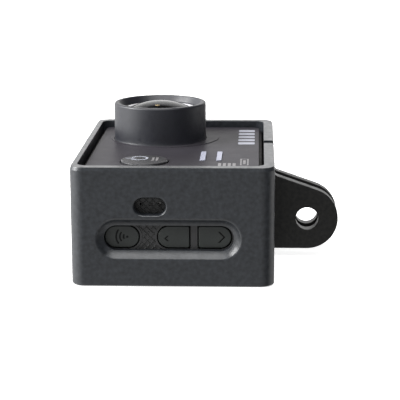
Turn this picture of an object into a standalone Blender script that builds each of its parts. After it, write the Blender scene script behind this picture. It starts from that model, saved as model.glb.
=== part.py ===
"""An action camera clipped into an open frame mount, lying on its back with the lens up.

Lengths are in millimetres, and become metres where each mesh is made.
X runs from the camera's top edge (-X) to its base and the mount's ears (+X), Y from the side
buttons (-Y) to the ports (+Y), and Z up along the lens axis from the plane it rests on.
The middle of the mount's band is the working origin. The empty "assembly" carries every piece
and moves them along X, so that the world origin lies under the middle of the whole object.
"""

import math

import bmesh
import bpy
from mathutils import Vector

MM = 0.001

# Mount
FRAME_WIDTH = 45.4
FRAME_LENGTH = 63.4
FRAME_HEIGHT = 27.0
FRAME_CORNER = 3.2
RIM_CHAMFER = 0.5
TOP_WALL = 1.5
EAR_WALL = 2.4
SIDE_WALL = 2.6
LIP_THICKNESS = 1.8
LIP_WIDTH = 2.4
EAR_HOLE = (30.7, 9.25)
EAR_HOLE_RADIUS = 2.7
EAR_TIP_RADIUS = 7.35
EAR_THICKNESS = 3.0
EAR_GAP = 3.2
EAR_SLOPE = math.radians(19.3)
EAR_ROOT_RADIUS = 1.5
DISH_DEPTH = 1.3
DISH_WIDTH = 1.5
BUTTON_WINDOW = (-15.2, 13.7, 8.0, 13.7)
SOUND_WINDOW = (-8.3, -1.35, 16.3, 20.15)
PORT_WINDOW = (-16.2, 15.2, 10.2, 17.4)
PORT_WINDOW_CORNER = 2.5
TOP_WINDOW = (-19.5, 11.5, 8.5, 18.5)

# Camera
FIT = 0.3
SHELL = 1.4
BODY_CORNER = 2.4
POST = 3.4
REAR_COVER_THICKNESS = 1.4
REAR_COVER_CHAMFER = 0.5
BAND_TOP = 23.6
BEZEL_THICKNESS = 0.8
PLATE_THICKNESS = 0.6
PLATE_MARGIN = 0.8
PLATE_CORNER = 1.8

# Lens
LENS = (-5.3, 12.6)
HOOD_RADIUS = 11.3
HOOD_BASE_RADIUS = 11.4
HOOD_TOP = 34.65
HOOD_BORE = 9.0
HOOD_FLARE = 1.2
HOOD_CHAMFER = 0.3
HOOD_RIM = 1.0
TRIM_RECESS = 0.7
LEDGE_THICKNESS = 1.0
LEDGE_TAPER = 0.6
GLASS_RADIUS = 7.4
GLASS_EDGE = 33.15
GLASS_EDGE_THICKNESS = 1.5
DOME_CURVATURE = 17.1
HOLLOW_RADIUS = 5.0
HOLLOW_CURVATURE = 8.5
INNER_LENSES = {"middle_lens": (27.4, 4.6), "rear_lens": (23.55, 4.4)}
INNER_LENS_CURVATURE = 9.0
INNER_LENS_EDGE = 1.2
BARREL_RADIUS = 6.0
BARREL_HEAD_RADIUS = 8.2
HOLDER_RADIUS = 7.8
HOLDER_FOOT = 17.2
HOLDER_LEVELS = (21.0, 27.0)
SENSOR_BOARD_TOP = 19.4
SENSOR_BOARD_SIZE = 18.0
SENSOR_SIZE = (7.2, 6.0, 1.0)
FILTER_RADIUS = 4.8
FILTER_LEVELS = (21.05, 21.45)
BARREL_FOOT = 21.8
BARREL_SHOULDER = 27.4
BARREL_STEP = 29.0
BARREL_THROAT = 5.5
BARREL_BORE = 5.0
TRIM_RADII = (7.75, 8.7)
TRIM_THICKNESS = 0.4

# Controls
POWER_BUTTON = (-7.03, -17.18)
POWER_RADIUS = 5.39
POWER_RISE = 0.35
POWER_FLANGE = (22.8, 23.5)
POWER_STEM_RADIUS = 1.5
STEM_LENGTH = 1.2
KEY_CHAMFER = 0.25
KEY_CORNER = 0.35
SHUTTER_BUTTON = (-12.0, 13.5)
SHUTTER_RADIUS = 4.6
SHUTTER_STEM_RADIUS = 1.2
SHUTTER_SWITCH = 3.6
SHUTTER_SWITCH_ENDS = (-17.0, -16.0)
POWER_SWITCH = (4.4, 2.2)
POWER_PLUNGER_RADIUS = 1.2
BUTTON_TRAVEL_GAP = 0.5
SIDE_BUTTON_HEIGHTS = (8.3, 13.2)
FLANGE_GAP = 0.4
FLANGE = 0.7
FLANGE_THICKNESS = 0.6
STEM_REACH = 1.1
SIDE_STEM_RADIUS = 0.9
SIDE_BOARD_ENDS = (-14.5, 13.0)
SIDE_BOARD_HEIGHT = 5.0
SIDE_BOARD_FACE = -23.6
SIDE_SWITCH = (3.2, 2.6, 1.0)
PLUNGER_RADIUS = 0.7
PLUNGER_LENGTH = 0.45
LIGHT_BARS = {"upper": 6.2, "lower": 10.0}
LIGHT_BAR_WIDTH = 1.25
LIGHT_BAR_CORNER = 0.3
LIGHT_BAR_ENDS = (-15.7, -5.5)
STATUS_LIGHT = (-3.6, 13.5)
STATUS_LIGHT_RADIUS = 0.9
STATUS_LIGHT_DEPTH = 1.2
DIODE_SIZE = (1.6, 2.0, 0.8)
DIODE_GAP = 0.4
LIGHT_BAR_RISE = 0.05

# Inside
BATTERY = (-11.7, 18.0, -20.4, 11.0, 6.3, 15.1)
TRAY_WALL = 0.7
TRAY_SETBACK = 2.0
BATTERY_CORNER = 1.0
CONTACT_DEPTH = 2.7
BOARD_THICKNESS = 0.8
BOARD = (-15.6, 14.8, -22.4, 26.8, 15.6, 15.6 + BOARD_THICKNESS)
BOARD_PARTS = {
    "processor_chip": ((-12.0, 0.0, -8.0, 4.0), 1.1, "chip_black"),
    "memory_chip": ((5.0, 13.0, 4.0, 14.0), 1.0, "chip_black"),
    "wifi_module": ((0.0, 13.0, -22.0, -13.5), 1.2, "tin_plate"),
}
LCD = (-17.4, 16.5, -23.0, 23.0)
LCD_THICKNESS = 1.3
SCREEN_MARGIN = 1.4
SCREEN_CORNER = 1.0
SCREEN_RECESS = 0.2
CARD = (1.9, 12.9, 13.6, 28.6, 13.4, 14.4)
USB = (-15.2, -7.6, 12.5, 15.2)
HDMI = (-6.4, 0.2, 12.3, 15.2)
SOCKET_WALL = 0.5
SOCKET_BACK = 22.5
SOCKET_RECESS = 0.4
TONGUE = (4.0, 0.5)
CARD_CORNER = 0.5
DOOR = (-22.7, 13.2, 5.5, 16.5)
DOOR_THICKNESS = 1.1
DOOR_CORNER = 0.6
KNUCKLE_OFFSET = (0.9, 0.7)
KNUCKLE_RADIUS = 1.1
HINGE_PIN_RADIUS = 0.4
LATCH = (1.9, 1.8, 5.0)
LATCH_INSET = 0.4
SPEAKER = (0.5, 9.5, 6.5, 15.0)
SPEAKER_SLOTS = (2.5, 5.0, 7.5)
SPEAKER_SLOT_WIDTH = 0.8
SPEAKER_SLOT_HEIGHTS = (8.5, 13.5)
MICROPHONE_RADIUS = 2.2
MICROPHONE_DEPTH = 1.7
SPEAKER_DEPTH = 3.3
SOUND_HOLE_RADIUS = 0.45
SOUND_HOLE_STEP = 2.0
BATTERY_CONTACTS = (-9.0, -1.0, 8.0, 13.0)
SCREW_RADIUS = 0.75
SCREW_HEAD_RADIUS = 1.3
SCREW_HEAD_HEIGHT = 1.0
SCREW_TOP = 14.0
SCREW_POINT = 0.6
SCREW_INSET = 1.5
SCREW_RECESS = 0.1

# Levels worked out from the sizes above
BAY_X = (TOP_WALL - FRAME_WIDTH / 2, FRAME_WIDTH / 2 - EAR_WALL)
BAY_Y = FRAME_LENGTH / 2 - SIDE_WALL
BODY = (BAY_X[0] + FIT, BAY_X[1] - FIT, FIT - BAY_Y, BAY_Y - FIT)
INNER = (BODY[0] + SHELL, BODY[1] - SHELL, BODY[2] + SHELL, BODY[3] - SHELL)
PLATE = (BODY[0] + PLATE_MARGIN, BODY[1] - PLATE_MARGIN, BODY[2] + PLATE_MARGIN, BODY[3] - PLATE_MARGIN)
REAR_COVER_Z = (LIP_THICKNESS + FIT, LIP_THICKNESS + FIT + REAR_COVER_THICKNESS)
BAND_Z = (REAR_COVER_Z[1] + FIT, BAND_TOP)
BEZEL_Z = (BAND_TOP + FIT, BAND_TOP + FIT + BEZEL_THICKNESS)
PLATE_Z = (BEZEL_Z[1] + FIT, BEZEL_Z[1] + FIT + PLATE_THICKNESS)
BUTTON_FACE_GAP = 0.15
PARTS_LEVEL = BOARD[5] + FIT
MICROPHONE = ((SOUND_WINDOW[0] + SOUND_WINDOW[1]) / 2, (SOUND_WINDOW[2] + SOUND_WINDOW[3]) / 2)
BEYOND = 1.0  # how far a cutter passes a face
SEGMENTS = 40

# Colours are linear RGB
MATERIALS = {
    "mount_plastic": ((0.045, 0.047, 0.052), 0.5, 0.0),
    "body_plastic": ((0.022, 0.023, 0.024), 0.55, 0.0),
    "plate_metal": ((0.12, 0.118, 0.125), 0.4, 0.4),
    "hood_metal": ((0.035, 0.036, 0.042), 0.45, 0.2),
    "trim_metal": ((0.45, 0.45, 0.47), 0.3, 0.9),
    "lens_glass": ((0.03, 0.03, 0.035), 0.05, 0.0),
    "button_rubber": ((0.03, 0.032, 0.032), 0.6, 0.0),
    "light_bar": ((0.8, 0.8, 0.85), 0.35, 0.0),
    "board_green": ((0.01, 0.09, 0.04), 0.5, 0.0),
    "chip_black": ((0.012, 0.012, 0.012), 0.45, 0.0),
    "tin_plate": ((0.55, 0.55, 0.55), 0.35, 1.0),
    "battery_wrap": ((0.02, 0.02, 0.025), 0.45, 0.0),
    "brass_contact": ((0.7, 0.5, 0.2), 0.3, 1.0),
    "steel": ((0.5, 0.5, 0.5), 0.3, 1.0),
}


def remove_scene_objects():
    for existing in list(bpy.data.objects):
        bpy.data.objects.remove(existing)


def make_materials():
    made = {}
    for name, (colour, roughness, metallic) in MATERIALS.items():
        material = bpy.data.materials.new(name)
        material.use_nodes = True
        shader = material.node_tree.nodes["Principled BSDF"]
        shader.inputs["Base Color"].default_value = (*colour, 1.0)
        shader.inputs["Roughness"].default_value = roughness
        shader.inputs["Metallic"].default_value = metallic
        made[name] = material
    return made


def make_assembly():
    """Empty that puts the middle of the whole object, ears included, on the world origin."""
    ear_tip = EAR_HOLE[0] + EAR_TIP_RADIUS
    empty = bpy.data.objects.new("assembly", None)
    empty.location.x = -(ear_tip - FRAME_WIDTH / 2) / 2 * MM
    bpy.context.collection.objects.link(empty)
    return empty


remove_scene_objects()
PALETTE = make_materials()
ASSEMBLY = make_assembly()


# --- outlines and meshes -------------------------------------------------------------------------

def arc(centre, radius, start, end, steps):
    """Points round a centre from one angle to another, in degrees, both ends included."""
    angles = [math.radians(start + (end - start) * i / steps) for i in range(steps + 1)]
    return [(centre[0] + radius * math.cos(a), centre[1] + radius * math.sin(a)) for a in angles]


def outline(low_u, high_u, low_v, high_v, low_radius=0.0, high_radius=None, steps=6):
    """Rectangle with its corners rounded, by one radius at low u and another at high u."""
    high_radius = low_radius if high_radius is None else high_radius
    corners = (
        (high_u, low_v, 1, -1, high_radius, -90),
        (high_u, high_v, 1, 1, high_radius, 0),
        (low_u, high_v, -1, 1, low_radius, 90),
        (low_u, low_v, -1, -1, low_radius, 180),
    )
    points = []
    for u, v, side_u, side_v, radius, start in corners:
        if radius:
            points += arc((u - side_u * radius, v - side_v * radius), radius, start, start + 90, steps)
        else:
            points.append((u, v))
    return points


def grown(rectangle, amount):
    """The same rectangle with every side moved outwards."""
    low_u, high_u, low_v, high_v = rectangle
    return (low_u - amount, high_u + amount, low_v - amount, high_v + amount)


def stadium(rectangle):
    """Outline with fully round ends along u."""
    radius = (rectangle[3] - rectangle[2]) / 2 - 0.001
    return outline(*rectangle, radius)


def circle(centre, radius, steps=SEGMENTS):
    return arc(centre, radius, 0, 360, steps)[:-1]


def place(axis, u, v, level):
    """Point of an outline stacked along an axis: (u, v) are the two other axes in X, Y, Z order."""
    spots = {"X": (level, u, v), "Y": (u, level, v), "Z": (u, v, level)}
    return Vector(spots[axis]) * MM


def finished(mesh):
    bmesh.ops.recalc_face_normals(mesh, faces=mesh.faces)
    return mesh


def loft(axis, *levels):
    """Closed mesh through (level, outline) pairs, whose outlines have equally many points."""
    mesh = bmesh.new()
    rings = [[mesh.verts.new(place(axis, u, v, level)) for u, v in points] for level, points in levels]
    for low, high in zip(rings, rings[1:]):
        for i in range(len(low)):
            j = (i + 1) % len(low)
            mesh.faces.new((low[i], low[j], high[j], high[i]))
    mesh.faces.new(rings[0])
    mesh.faces.new(rings[-1])
    return finished(mesh)


def prism(axis, points, low, high):
    return loft(axis, (low, points), (high, points))


def block(low_x, high_x, low_y, high_y, low_z, high_z):
    return prism("Z", outline(low_x, high_x, low_y, high_y), low_z, high_z)


def turned(axis, centre, profile, segments=SEGMENTS):
    """Solid of revolution of a (radius, level) profile. It is a ring unless the profile ends on the axis."""
    mesh = bmesh.new()
    rings = []
    for radius, level in profile:
        if radius:
            points = circle(centre, radius, segments)
        else:
            points = [centre]
        rings.append([mesh.verts.new(place(axis, u, v, level)) for u, v in points])
    pairs = list(zip(rings, rings[1:]))
    if profile[0][0]:
        pairs.append((rings[-1], rings[0]))
    for low, high in pairs:
        for i in range(segments):
            j = (i + 1) % segments
            corners = (low[i % len(low)], low[j % len(low)], high[j % len(high)], high[i % len(high)])
            mesh.faces.new(tuple(dict.fromkeys(corners)))
    return finished(mesh)


def add(name, mesh, material):
    """Object with its origin in the middle of its mesh, carried by the assembly."""
    spread = [[vert.co[i] for vert in mesh.verts] for i in range(3)]
    middle = Vector([(min(values) + max(values)) / 2 for values in spread])
    bmesh.ops.translate(mesh, vec=-middle, verts=mesh.verts)
    data = bpy.data.meshes.new(name)
    mesh.to_mesh(data)
    mesh.free()
    piece = bpy.data.objects.new(name, data)
    piece.location = middle
    piece.parent = ASSEMBLY
    data.materials.append(PALETTE[material])
    data.shade_smooth()
    data.set_sharp_from_angle(angle=math.radians(30))
    bpy.context.collection.objects.link(piece)
    return piece


def shape(piece, tool, operation="DIFFERENCE"):
    """Cuts a tool mesh from a piece, or joins it on."""
    cutter = add(f"{piece.name}_tool_{len(piece.modifiers)}", tool, "steel")
    cutter.hide_render = True
    cutter.display_type = "WIRE"
    boolean = piece.modifiers.new(cutter.name, "BOOLEAN")
    boolean.operation = operation
    boolean.object = cutter


# --- mount ---------------------------------------------------------------------------------------

def ear_outline():
    """Side view of an ear: round tip, level lower edge, sloped upper edge and a root fillet."""
    root = FRAME_WIDTH / 2 - EAR_WALL / 2
    face = FRAME_WIDTH / 2
    tip = arc(EAR_HOLE, EAR_TIP_RADIUS, -90, 90 - math.degrees(EAR_SLOPE), 16)
    top_x, top_z = tip[-1]
    face_z = top_z + (top_x - face) * math.tan(EAR_SLOPE)
    reach = EAR_ROOT_RADIUS * math.tan((math.pi / 2 - EAR_SLOPE) / 2)
    centre = (face + EAR_ROOT_RADIUS, face_z + reach)
    fillet = arc(centre, EAR_ROOT_RADIUS, 270 - math.degrees(EAR_SLOPE), 180, 5)
    return tip + fillet + [(root, centre[1]), (root, EAR_HOLE[1] - EAR_TIP_RADIUS)]


def dished_window(axis, points_for, rectangle, face, inner):
    """Window cutter whose mouth widens towards the outer face of a wall."""
    outwards = math.copysign(1.0, face)
    mouth = grown(rectangle, DISH_WIDTH)
    over = grown(rectangle, DISH_WIDTH * (1 + BEYOND / DISH_DEPTH))
    return loft(
        axis,
        (inner - outwards * BEYOND, points_for(rectangle)),
        (face - outwards * DISH_DEPTH, points_for(rectangle)),
        (face, points_for(mouth)),
        (face + outwards * BEYOND, points_for(over)),
    )


def port_outline(rectangle):
    return outline(*rectangle, PORT_WINDOW_CORNER + (rectangle[1] - PORT_WINDOW[1]) / 2)


def make_mount():
    half_width = FRAME_WIDTH / 2
    half_length = FRAME_LENGTH / 2
    band = (-half_width, half_width, -half_length, half_length)
    bay = (*BAY_X, -BAY_Y, BAY_Y)
    full = outline(*band, FRAME_CORNER)
    rim = outline(*grown(band, -RIM_CHAMFER), FRAME_CORNER - RIM_CHAMFER)
    top = FRAME_HEIGHT
    frame = add("mount_frame", loft("Z", (0, full), (top - RIM_CHAMFER, full), (top, rim)), "mount_plastic")
    inner_ear = EAR_GAP / 2
    outer_ear = inner_ear + EAR_THICKNESS
    for low, high in ((inner_ear, outer_ear), (-outer_ear, -inner_ear)):
        shape(frame, prism("Y", ear_outline(), low, high), "UNION")
    shape(frame, prism("Z", outline(*bay, BODY_CORNER), LIP_THICKNESS, top + BEYOND))
    lip_hole = outline(*grown(bay, -LIP_WIDTH), BODY_CORNER)
    shape(frame, prism("Z", lip_hole, -BEYOND, LIP_THICKNESS + BEYOND))
    shape(frame, dished_window("Y", stadium, BUTTON_WINDOW, -half_length, -BAY_Y))
    shape(frame, prism("Y", stadium(SOUND_WINDOW), -half_length - BEYOND, BEYOND - BAY_Y))
    shape(frame, dished_window("Y", port_outline, PORT_WINDOW, half_length, BAY_Y))
    shape(frame, prism("X", stadium(TOP_WINDOW), -half_width - BEYOND, BAY_X[0] + BEYOND))
    slit_x = (BAY_X[1] - LIP_WIDTH - BEYOND, half_width + BEYOND)
    shape(frame, block(*slit_x, -inner_ear, inner_ear, -BEYOND, top + BEYOND))
    hole = circle(EAR_HOLE, EAR_HOLE_RADIUS, 32)
    shape(frame, prism("Y", hole, -outer_ear - BEYOND, outer_ear + BEYOND))


# --- shells --------------------------------------------------------------------------------------

def side_button_spans():
    """Each side button's ends along X, and whether each end is round."""
    return {
        "wifi_button": (-15.1, -7.5, True, True),
        "up_button": (-3.25, 3.75, True, False),
        "down_button": (5.85, 13.1, False, True),
    }


def side_button_outline(span, extra=0.0):
    low_x, high_x, low_round, high_round = span
    low_z, high_z = SIDE_BUTTON_HEIGHTS
    round_end = (high_z - low_z) / 2 + extra - 0.001
    low_radius = round_end if low_round else KEY_CORNER
    high_radius = round_end if high_round else KEY_CORNER
    rectangle = grown((low_x, high_x, low_z, high_z), extra)
    return outline(*rectangle, low_radius, high_radius)


def make_body_band():
    low, high = BAND_Z
    band = add("body_band", prism("Z", outline(*BODY, BODY_CORNER), low, high), "body_plastic")
    low_x, high_x, low_y, high_y = INNER
    through = (low - BEYOND, high + BEYOND)
    shape(band, block(low_x + POST, high_x - POST, low_y, high_y, *through))
    shape(band, block(low_x, high_x, low_y + POST, high_y - POST, *through))
    for span in side_button_spans().values():
        shape(band, prism("Y", side_button_outline(span, FIT), BODY[2] - BEYOND, INNER[2] + BEYOND))
    top_wall = (BODY[0] - BEYOND, INNER[0] + BEYOND)
    shape(band, prism("X", circle(SHUTTER_BUTTON, SHUTTER_RADIUS + FIT), *top_wall))
    shape(band, prism("X", circle(STATUS_LIGHT, STATUS_LIGHT_RADIUS + FIT, 16), *top_wall))
    for y in SPEAKER_SLOTS:
        half = SPEAKER_SLOT_WIDTH / 2
        shape(band, block(*top_wall, y - half, y + half, *SPEAKER_SLOT_HEIGHTS))
    for step in (-1, 0, 1):
        hole = (MICROPHONE[0] + step * SOUND_HOLE_STEP, MICROPHONE[1])
        shape(band, prism("Y", circle(hole, SOUND_HOLE_RADIUS, 12), BODY[2] - BEYOND, INNER[2] + BEYOND))
    for port in (USB, HDMI, CARD[:2] + CARD[4:]):
        shape(band, prism("Y", outline(*grown(port, FIT)), INNER[3] - BEYOND, BODY[3] + BEYOND))
    shape(band, prism("X", outline(*grown(DOOR, FIT)), INNER[1] - BEYOND, BODY[1] + BEYOND))
    for spot in screw_places():
        shape(band, prism("Z", circle(spot, SCREW_RADIUS + FIT, 16), low - BEYOND, SCREW_TOP + FIT))


def make_rear_cover():
    low, high = REAR_COVER_Z
    edge = REAR_COVER_CHAMFER
    small = outline(*grown(BODY, -edge), BODY_CORNER - edge)
    full = outline(*BODY, BODY_CORNER)
    cover = add("rear_cover", loft("Z", (low, small), (low + edge, full), (high, full)), "body_plastic")
    window = grown(LCD, -SCREEN_MARGIN)
    through = (low - BEYOND, high + BEYOND)
    shape(cover, prism("Z", outline(*window, SCREEN_CORNER), *through))
    for spot in screw_places():
        shape(cover, prism("Z", circle(spot, SCREW_HEAD_RADIUS + FIT, 20), *through))
    pane = outline(*grown(window, -FIT), SCREEN_CORNER - FIT)
    add("lcd_window", prism("Z", pane, low + SCREEN_RECESS, high - SCREEN_RECESS), "lens_glass")
    add("lcd_panel", block(*LCD, high + FIT, high + FIT + LCD_THICKNESS), "tin_plate")


def front_holes(thickness):
    """Cutters through one of the two front layers: power button and both light bars."""
    through = (thickness[0] - BEYOND, thickness[1] + BEYOND)
    yield prism("Z", circle(POWER_BUTTON, POWER_RADIUS + FIT), *through)
    for x in LIGHT_BARS.values():
        yield prism("Z", light_bar_outline(x, FIT), *through)


def light_bar_outline(x, extra=0.0):
    half = LIGHT_BAR_WIDTH / 2
    return outline(*grown((x - half, x + half, *LIGHT_BAR_ENDS), extra), LIGHT_BAR_CORNER)


def make_front():
    """Black front bezel and the plate that lies on it."""
    layers = (
        ("front_bezel", BODY, BODY_CORNER, BEZEL_Z, HOLDER_RADIUS + FIT, "body_plastic"),
        ("front_plate", PLATE, PLATE_CORNER, PLATE_Z, HOOD_BASE_RADIUS + FIT, "plate_metal"),
    )
    for name, rectangle, corner, (low, high), lens_hole, material in layers:
        layer = add(name, prism("Z", outline(*rectangle, corner), low, high), material)
        shape(layer, prism("Z", circle(LENS, lens_hole), low - BEYOND, high + BEYOND))
        for tool in front_holes((low, high)):
            shape(layer, tool)


# --- lens ----------------------------------------------------------------------------------------

def make_hood():
    base, plate_top = PLATE_Z
    ledge_radius = BARREL_HEAD_RADIUS + FIT
    ledge_top = GLASS_EDGE - TRIM_RECESS
    profile = [
        (HOOD_BASE_RADIUS, base),
        (HOOD_BASE_RADIUS, plate_top),
        (HOOD_RADIUS, plate_top + HOOD_FLARE),
        (HOOD_RADIUS, HOOD_TOP - HOOD_CHAMFER),
        (HOOD_RADIUS - HOOD_CHAMFER, HOOD_TOP),
        (HOOD_RADIUS - HOOD_RIM, HOOD_TOP),
        (HOOD_BORE, GLASS_EDGE),
        (HOOD_BORE, ledge_top),
        (ledge_radius, ledge_top),
        (ledge_radius, ledge_top - LEDGE_THICKNESS),
        (HOOD_BORE, ledge_top - LEDGE_THICKNESS - LEDGE_TAPER),
        (HOOD_BORE, base),
    ]
    add("lens_hood", turned("Z", LENS, profile, 56), "hood_metal")


def dome(edge_radius, edge_level, curvature, steps):
    """Points of a spherical cap from its edge up to the axis."""
    centre = edge_level - math.sqrt(curvature ** 2 - edge_radius ** 2)
    reach = math.asin(edge_radius / curvature)
    points = []
    for i in range(steps + 1):
        angle = reach * (1 - i / steps)
        points.append((curvature * math.sin(angle), centre + curvature * math.cos(angle)))
    points[-1] = (0, points[-1][1])
    return points


def make_glass():
    back = GLASS_EDGE - GLASS_EDGE_THICKNESS
    hollow = list(reversed(dome(HOLLOW_RADIUS, back, HOLLOW_CURVATURE, 5)))
    profile = hollow + [(GLASS_RADIUS, back)] + dome(GLASS_RADIUS, GLASS_EDGE, DOME_CURVATURE, 8)
    add("front_glass", turned("Z", LENS, profile), "lens_glass")
    for name, (level, radius) in INNER_LENSES.items():
        top = dome(radius, level + INNER_LENS_EDGE / 2, INNER_LENS_CURVATURE, 4)
        below = [(r, 2 * level - z) for r, z in reversed(top)]
        add(name, turned("Z", LENS, below + top, 28), "lens_glass")


def make_barrel():
    seat = GLASS_EDGE - GLASS_EDGE_THICKNESS - FIT
    mouth = GLASS_RADIUS + FIT
    head_top = GLASS_EDGE - TRIM_RECESS
    profile = [
        (BARREL_RADIUS, BARREL_FOOT),
        (BARREL_RADIUS, BARREL_SHOULDER),
        (BARREL_HEAD_RADIUS, BARREL_SHOULDER),
        (BARREL_HEAD_RADIUS, head_top),
        (mouth, head_top),
        (mouth, seat),
        (BARREL_THROAT, seat),
        (BARREL_THROAT, BARREL_STEP),
        (BARREL_BORE, BARREL_STEP - (BARREL_THROAT - BARREL_BORE)),
        (BARREL_BORE, BARREL_FOOT),
    ]
    add("lens_barrel", turned("Z", LENS, profile), "body_plastic")
    low, high = GLASS_EDGE - TRIM_THICKNESS, GLASS_EDGE
    inner, outer = TRIM_RADII
    ring = [(outer, low), (outer, high), (inner, high), (inner, low)]
    add("lens_trim_ring", turned("Z", LENS, ring, 48), "trim_metal")


def around(centre, half_u, half_v):
    """Rectangle about a centre."""
    return (centre[0] - half_u, centre[0] + half_u, centre[1] - half_v, centre[1] + half_v)


def make_sensor():
    """Sensor on its own small board, under the holder that the barrel screws into."""
    board_top = SENSOR_BOARD_TOP
    base = board_top + FIT
    board = around(LENS, SENSOR_BOARD_SIZE / 2, SENSOR_BOARD_SIZE / 2)
    add("sensor_board", block(*board, board_top - BOARD_THICKNESS, board_top), "board_green")
    sensor = around(LENS, SENSOR_SIZE[0] / 2, SENSOR_SIZE[1] / 2)
    add("image_sensor", block(*sensor, base, base + SENSOR_SIZE[2]), "chip_black")
    foot = around(LENS, HOLDER_FOOT / 2, HOLDER_FOOT / 2)
    holder = add("lens_holder", block(*foot, base, HOLDER_LEVELS[0]), "body_plastic")
    tube = prism("Z", circle(LENS, HOLDER_RADIUS), HOLDER_LEVELS[0] - BEYOND / 2, HOLDER_LEVELS[1])
    shape(holder, tube, "UNION")
    bore = prism("Z", circle(LENS, BARREL_RADIUS + FIT), board_top - BEYOND, HOLDER_LEVELS[1] + BEYOND)
    shape(holder, bore)
    add("ir_filter", prism("Z", circle(LENS, FILTER_RADIUS, 24), *FILTER_LEVELS), "lens_glass")


# --- controls ------------------------------------------------------------------------------------

def make_power_button():
    top = PLATE_Z[1] + POWER_RISE
    flange_low, flange_high = POWER_FLANGE
    stem = POWER_STEM_RADIUS
    profile = [
        (0, flange_low - STEM_LENGTH),
        (stem, flange_low - STEM_LENGTH),
        (stem, flange_low),
        (POWER_RADIUS + FLANGE, flange_low),
        (POWER_RADIUS + FLANGE, flange_high),
        (POWER_RADIUS, flange_high),
        (POWER_RADIUS, top - KEY_CHAMFER),
        (POWER_RADIUS - KEY_CHAMFER, top),
        (0, top),
    ]
    add("power_button", turned("Z", POWER_BUTTON, profile), "body_plastic")


def make_shutter_button():
    face = BAY_X[0] + BUTTON_FACE_GAP
    inner = INNER[0] + FLANGE_GAP
    profile = [
        (0, face),
        (SHUTTER_RADIUS - KEY_CHAMFER, face),
        (SHUTTER_RADIUS, face + KEY_CHAMFER),
        (SHUTTER_RADIUS, inner),
        (SHUTTER_RADIUS + FLANGE, inner),
        (SHUTTER_RADIUS + FLANGE, inner + FLANGE_THICKNESS),
        (SHUTTER_STEM_RADIUS, inner + FLANGE_THICKNESS),
        (SHUTTER_STEM_RADIUS, inner + STEM_REACH),
        (0, inner + STEM_REACH),
    ]
    add("shutter_button", turned("X", SHUTTER_BUTTON, profile), "button_rubber")


def make_side_buttons():
    face = BUTTON_FACE_GAP - BAY_Y
    inner = INNER[2] + FLANGE_GAP
    middle_z = sum(SIDE_BUTTON_HEIGHTS) / 2
    for name, span in side_button_spans().items():
        key = side_button_outline(span)
        small = side_button_outline(span, -KEY_CHAMFER)
        levels = ((face, small), (face + KEY_CHAMFER, key), (inner + FLANGE_THICKNESS / 2, key))
        button = add(name, loft("Y", *levels), "button_rubber")
        flange = side_button_outline(span, FLANGE)
        shape(button, prism("Y", flange, inner, inner + FLANGE_THICKNESS), "UNION")
        middle = ((span[0] + span[1]) / 2, middle_z)
        stem = circle(middle, SIDE_STEM_RADIUS, 16)
        shape(button, prism("Y", stem, inner + FLANGE_THICKNESS / 2, inner + STEM_REACH), "UNION")
        make_side_switch(name.replace("button", "switch"), middle)
    board = (*SIDE_BOARD_ENDS, middle_z - SIDE_BOARD_HEIGHT / 2, middle_z + SIDE_BOARD_HEIGHT / 2)
    thickness = (SIDE_BOARD_FACE, SIDE_BOARD_FACE + BOARD_THICKNESS)
    add("side_button_board", prism("Y", outline(*board), *thickness), "board_green")


def make_side_switch(name, middle):
    """Push switch between a side button's stem and the small board, with a round plunger."""
    back = SIDE_BOARD_FACE - FIT
    front = back - SIDE_SWITCH[2]
    can = outline(*around(middle, SIDE_SWITCH[0] / 2, SIDE_SWITCH[1] / 2))
    switch = add(name, prism("Y", can, front, back), "tin_plate")
    plunger = circle(middle, PLUNGER_RADIUS, 16)
    shape(switch, prism("Y", plunger, front - PLUNGER_LENGTH, (front + back) / 2), "UNION")


def make_upright_switches():
    """Switches under the power button and behind the shutter button."""
    base = PARTS_LEVEL
    width, height = POWER_SWITCH
    can = around(POWER_BUTTON, width / 2, width / 2)
    power = add("power_switch", block(*can, base, base + height), "tin_plate")
    reach = POWER_FLANGE[0] - STEM_LENGTH - BUTTON_TRAVEL_GAP
    plunger = circle(POWER_BUTTON, POWER_PLUNGER_RADIUS, 16)
    shape(power, prism("Z", plunger, base + height / 2, reach), "UNION")
    low, high = SHUTTER_SWITCH_ENDS
    can = outline(*around(SHUTTER_BUTTON, SHUTTER_SWITCH / 2, SHUTTER_SWITCH / 2))
    shutter = add("shutter_switch", prism("X", can, low, high), "tin_plate")
    plunger = circle(SHUTTER_BUTTON, PLUNGER_RADIUS, 16)
    shape(shutter, prism("X", plunger, low - PLUNGER_LENGTH, (low + high) / 2), "UNION")


def make_lights():
    """Light bars in the plate with their diodes, and the small light on the camera's top edge."""
    low_y, high_y = LIGHT_BAR_ENDS
    middle_y = (low_y + high_y) / 2
    diode_top = PARTS_LEVEL + DIODE_SIZE[2]
    for side, x in LIGHT_BARS.items():
        bar = prism("Z", light_bar_outline(x), diode_top + DIODE_GAP, PLATE_Z[1] + LIGHT_BAR_RISE)
        add(f"light_guide_{side}", bar, "light_bar")
        diode = around((x, middle_y), DIODE_SIZE[0] / 2, DIODE_SIZE[1] / 2)
        add(f"indicator_led_{side}", block(*diode, PARTS_LEVEL, diode_top), "light_bar")
    pin = prism("X", circle(STATUS_LIGHT, STATUS_LIGHT_RADIUS, 16), BODY[0], INNER[0] + STATUS_LIGHT_DEPTH)
    add("status_light", pin, "light_bar")


# --- sound ---------------------------------------------------------------------------------------

def make_sound():
    front = INNER[2] + FIT
    capsule = circle(MICROPHONE, MICROPHONE_RADIUS, 24)
    add("microphone", prism("Y", capsule, front, front + MICROPHONE_DEPTH), "tin_plate")
    front = INNER[0] + FIT
    add("speaker", prism("X", outline(*SPEAKER), front, front + SPEAKER_DEPTH), "chip_black")


# --- power and boards ----------------------------------------------------------------------------

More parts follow.
